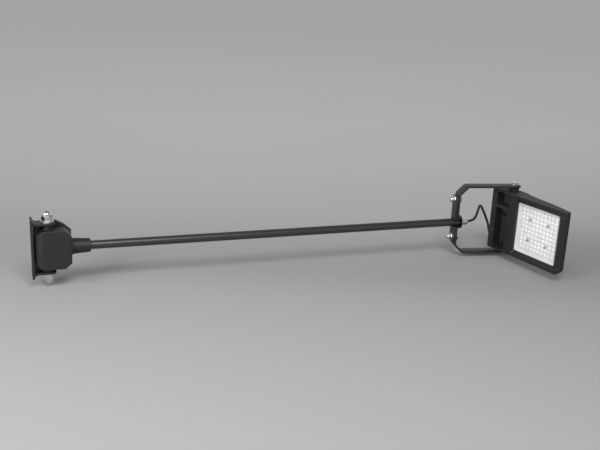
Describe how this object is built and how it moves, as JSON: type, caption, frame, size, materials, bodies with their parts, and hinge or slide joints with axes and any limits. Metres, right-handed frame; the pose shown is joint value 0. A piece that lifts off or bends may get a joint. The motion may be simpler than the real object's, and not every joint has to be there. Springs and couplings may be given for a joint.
{
  "type": "led floodlight",
  "caption": "Square LED floodlight that tilts in a steel yoke at the end of a long tube arm, which swings on a hinged wall bracket.",
  "frame": {"origin": "centre of the wall plate's back face, on the wall", "axes": "+X out from the wall along the arm, +Z along both hinge axes, +Y completes the right-handed frame; the lamp faces back towards the wall and to the -Y side"},
  "size_m": [1.3537, 0.3521, 0.2188],
  "materials": {
    "black_nylon": "black nylon",
    "black_rubber": "matt black rubber",
    "black_steel": "black oxide on steel",
    "board_white": "white solder resist",
    "bracket_paint": "fine satin graphite powder coat on steel",
    "bright_zinc": "bright zinc-plated steel",
    "cast_paint": "satin graphite powder coat on cast aluminium",
    "clear_glass": "clear toughened glass",
    "driver_case": "plain die-cast aluminium",
    "gloss_black": "glossy black moulded cover",
    "grey_nylon": "light grey nylon",
    "lamp_paint": "fine matt black powder coat on cast aluminium",
    "nickel_brass": "nickel-plated brass",
    "polished_steel": "polished stainless steel",
    "tube_paint": "semi-gloss dark graphite coat on steel",
    "white_lens": "milky moulded acrylic lens array"
  },
  "bodies": {
    "bracket": {"wall_bracket": "bracket_paint", "pivot_rod": "bright_zinc", "pivot_washers": "bright_zinc", "pivot_acorn_nuts": "polished_steel"},
    "arm": {"arm_tube": "tube_paint", "cover_gasket": "black_rubber", "cover_screws": "bright_zinc", "earth_screw": "bright_zinc", "end_collar": "tube_paint", "end_plate": "bracket_paint", "entry_plug": "black_nylon", "gland_body": "nickel_brass", "gland_nut": "nickel_brass", "gland_seal": "black_rubber", "grub_screws": "bright_zinc", "knuckle_cover": "cast_paint", "knuckle_housing": "cast_paint", "lamp_lead": "black_rubber", "pivot_bushes": "black_nylon", "terminal_block": "grey_nylon", "tube_cable": "black_rubber", "tube_socket": "cast_paint", "yoke": "bracket_paint", "yoke_acorn_nuts": "polished_steel", "yoke_bolts": "polished_steel", "yoke_bushes": "black_nylon", "yoke_washers": "bright_zinc"},
    "lamp": {"board_screws": "bright_zinc", "driver_cover": "gloss_black", "driver_cover_screws": "bright_zinc", "frame_screws": "black_steel", "front_frame": "lamp_paint", "front_glass": "clear_glass", "glass_gasket": "black_rubber", "lamp_cable": "black_rubber", "lamp_gland_body": "nickel_brass", "lamp_gland_nut": "nickel_brass", "lamp_gland_seal": "black_rubber", "lamp_housing": "lamp_paint", "lamp_pivot_bolts": "polished_steel", "lamp_pivot_washers": "bright_zinc", "led_board": "board_white", "led_driver": "driver_case", "lens_plate": "white_lens", "vent_plug": "black_nylon"}
  },
  "joints": [
    {"name": "arm_swing", "type": "hinge", "parent": "bracket", "child": "arm", "pos_m": [0.04, 0, 0], "axis": [0, 0, 1], "range_deg": [-90, 90]},
    {"name": "lamp_tilt", "type": "hinge", "parent": "arm", "child": "lamp", "pos_m": [1.33134, -0.03039, 0.01], "axis": [0, 0, 1], "range_deg": [-45, 90], "deforming": ["lamp_lead"]}
  ]
}
